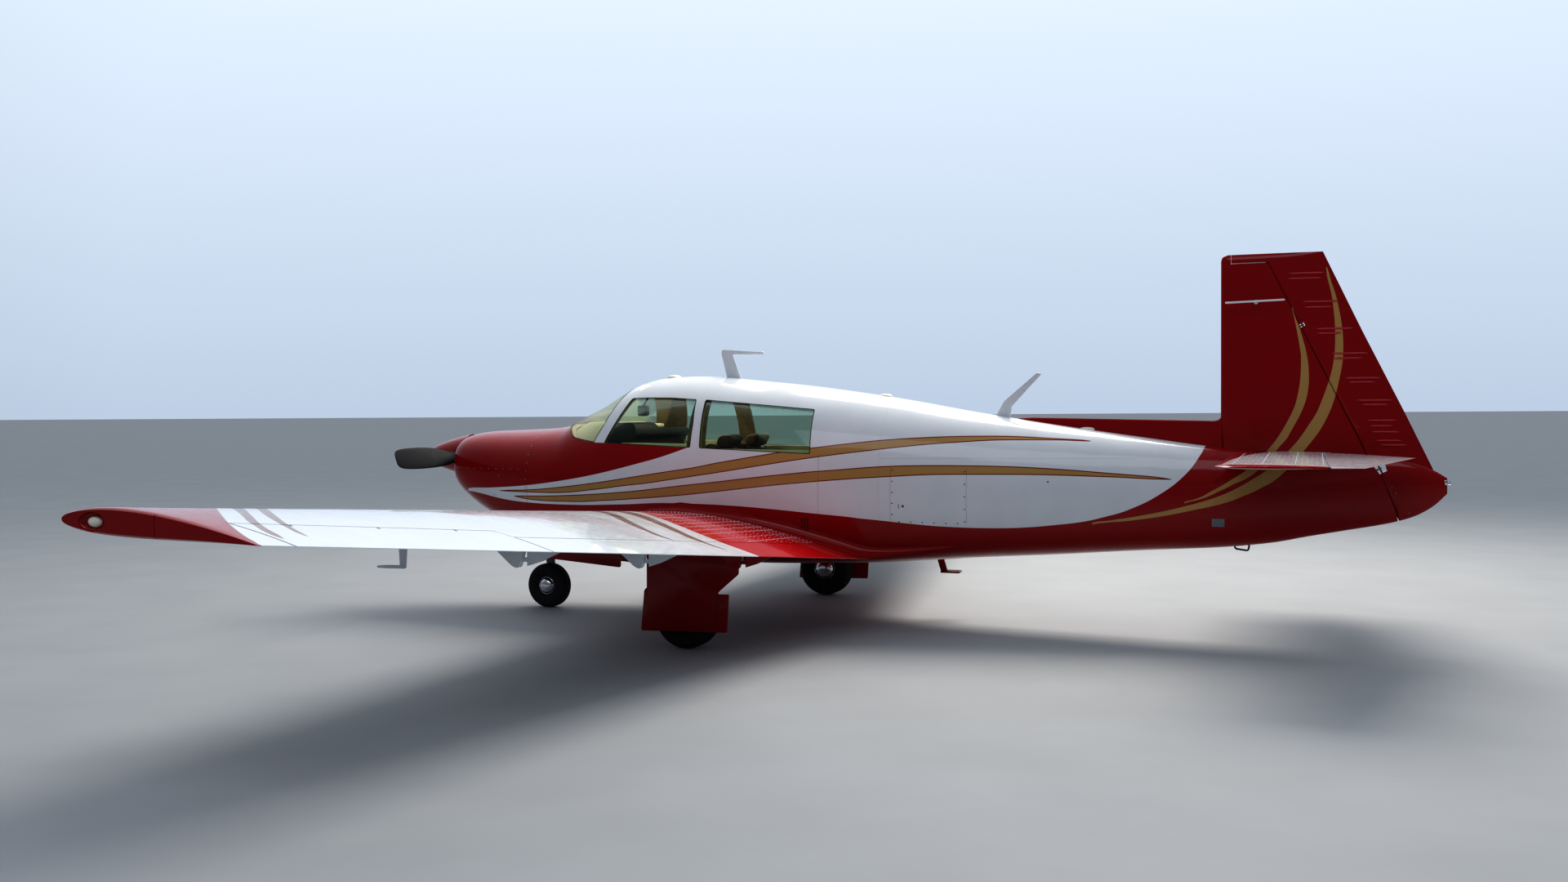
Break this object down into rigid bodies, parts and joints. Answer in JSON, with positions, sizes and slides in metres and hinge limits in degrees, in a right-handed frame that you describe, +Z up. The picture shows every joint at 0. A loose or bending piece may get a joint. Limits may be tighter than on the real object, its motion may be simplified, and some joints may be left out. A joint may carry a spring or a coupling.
{
  "type": "low-wing light aircraft",
  "caption": "Low-wing single-engine light aircraft on its landing gear, with a propeller, cabin and baggage doors, control surfaces and spinning wheels that move.",
  "frame": {"origin": "on the ground under the middle of the aircraft's bounding box", "axes": "+X towards the tail, +Y towards the right wing tip, +Z up"},
  "size_m": [7.518, 11, 2.53],
  "materials": {
    "paint_red": "high gloss enamel over aluminium sheet",
    "paint_white": "high gloss enamel over aluminium sheet",
    "window_acrylic": "tinted clear acrylic",
    "black_enamel": "matt dark enamel over aluminium",
    "gear_steel": "grey enamel over steel tube",
    "exhaust_steel": "heat-darkened steel",
    "firewall_steel": "bare stainless sheet",
    "engine_iron": "cast and machined metal",
    "bay_primer": "primed aluminium sheet",
    "chrome_rim": "polished aluminium",
    "tyre_rubber": "matt tread rubber",
    "tan_leather": "soft grained leather",
    "tan_trim": "leather-covered panel",
    "panel_black": "matt black moulding"
  },
  "bodies": {
    "airframe": {"cowl_upper": "paint_red", "cowl_lower": "paint_red", "firewall": "firewall_steel", "engine": "engine_iron", "exhaust_pipe": "exhaust_steel", "cabin": "paint_white", "nose_gear_bay": "bay_primer", "rear_bulkhead": "tan_trim", "windshield": "window_acrylic", "window_front_left": "window_acrylic", "window_rear_left": "window_acrylic", "window_rear_right": "window_acrylic", "instrument_panel": "panel_black", "front_seat_left": "tan_leather", "front_seat_right": "tan_leather", "rear_seat": "tan_leather", "tail_cone": "paint_white", "tail_fairing": "paint_red", "fin": "paint_red", "stabilizer_left": "paint_white", "stabilizer_right": "paint_white", "wing_left": "paint_white", "wing_right": "paint_white", "wing_tip_left": "paint_red", "wing_tip_right": "paint_red", "nose_strut": "gear_steel", "nose_gear_door_left": "paint_red", "nose_gear_door_right": "paint_red", "main_gear_leg_left": "gear_steel", "main_gear_leg_right": "gear_steel", "main_gear_door_left": "paint_red", "main_gear_door_right": "paint_red", "roof_antenna": "paint_white", "tail_antenna": "paint_white", "fin_antenna": "paint_white", "pitot_tube": "black_enamel", "boarding_step": "paint_red", "tail_skid": "gear_steel"},
    "propeller": {"propeller": "black_enamel", "spinner": "paint_red"},
    "nose_steering": {"nose_fork": "gear_steel"},
    "nose_wheel": {"nose_tyre": "tyre_rubber", "nose_rim": "chrome_rim"},
    "main_wheel_left": {"main_tyre_left": "tyre_rubber", "main_rim_left": "chrome_rim"},
    "main_wheel_right": {"main_tyre_right": "tyre_rubber", "main_rim_right": "chrome_rim"},
    "cabin_door": {"cabin_door": "paint_white", "cabin_door_window": "window_acrylic"},
    "baggage_door": {"baggage_door": "paint_white"},
    "aileron_right": {"aileron_right": "paint_white"},
    "aileron_left": {"aileron_left": "paint_white"},
    "flap_right": {"flap_right": "paint_white"},
    "flap_left": {"flap_left": "paint_white"},
    "elevators": {"elevators": "paint_white"},
    "rudder": {"rudder": "paint_red"}
  },
  "joints": [
    {"name": "propeller_spin", "type": "hinge", "parent": "airframe", "child": "propeller", "pos_m": [-3.397, 0, 1.183], "axis": [1, 0, 0], "continuous": true},
    {"name": "nose_steering", "type": "hinge", "parent": "airframe", "child": "nose_steering", "pos_m": [-2.707, 0, 0.6], "axis": [0, 0, 1], "range_deg": [-14, 14]},
    {"name": "nose_wheel_spin", "type": "hinge", "parent": "nose_steering", "child": "nose_wheel", "pos_m": [-2.657, 0, 0.172], "axis": [0, 1, 0], "continuous": true},
    {"name": "main_wheel_left_spin", "type": "hinge", "parent": "airframe", "child": "main_wheel_left", "pos_m": [-0.837, -1.395, 0.218], "axis": [0, 1, 0], "continuous": true},
    {"name": "main_wheel_right_spin", "type": "hinge", "parent": "airframe", "child": "main_wheel_right", "pos_m": [-0.837, 1.395, 0.218], "axis": [0, 1, 0], "continuous": true},
    {"name": "cabin_door_hinge", "type": "hinge", "parent": "airframe", "child": "cabin_door", "pos_m": [-1.964, 0.586, 1.2], "axis": [0, 0, 1], "range_deg": [0, 75]},
    {"name": "baggage_door_hinge", "type": "hinge", "parent": "airframe", "child": "baggage_door", "pos_m": [-0.059, 0.456, 1.436], "axis": [1, 0, 0], "range_deg": [0, 80]},
    {"name": "aileron_right_hinge", "type": "hinge", "parent": "airframe", "child": "aileron_right", "pos_m": [-0.76526, 3.798, 0.9418], "axis": [-0.1561, 0.9829, 0.0977], "range_deg": [-12, 12]},
    {"name": "aileron_left_hinge", "type": "hinge", "parent": "airframe", "child": "aileron_left", "pos_m": [-1.00636, -5.316, 1.09273], "axis": [0.1561, 0.9829, -0.0977], "range_deg": [-12, 12]},
    {"name": "flap_right_hinge", "type": "hinge", "parent": "airframe", "child": "flap_right", "pos_m": [-0.20434, 0.64, 0.4855], "axis": [-0.1433, 0.9841, 0.105], "range_deg": [0, 33]},
    {"name": "flap_left_hinge", "type": "hinge", "parent": "airframe", "child": "flap_left", "pos_m": [-0.66199, -3.784, 0.821], "axis": [0.1433, 0.9841, -0.105], "range_deg": [0, 33]},
    {"name": "elevator_hinge", "type": "hinge", "parent": "airframe", "child": "elevators", "pos_m": [3.051, 0, 1.2145], "axis": [0, 1, 0], "range_deg": [-22, 20]},
    {"name": "rudder_hinge", "type": "hinge", "parent": "airframe", "child": "rudder", "pos_m": [3.526, 0, 0.785], "axis": [-0.4492, 0, 0.8934], "range_deg": [-23, 23]}
  ],
  "couplings": [
    {"joint": "aileron_left_hinge", "follows": "aileron_right_hinge", "ratio": -1},
    {"joint": "flap_left_hinge", "follows": "flap_right_hinge", "ratio": 1}
  ]
}
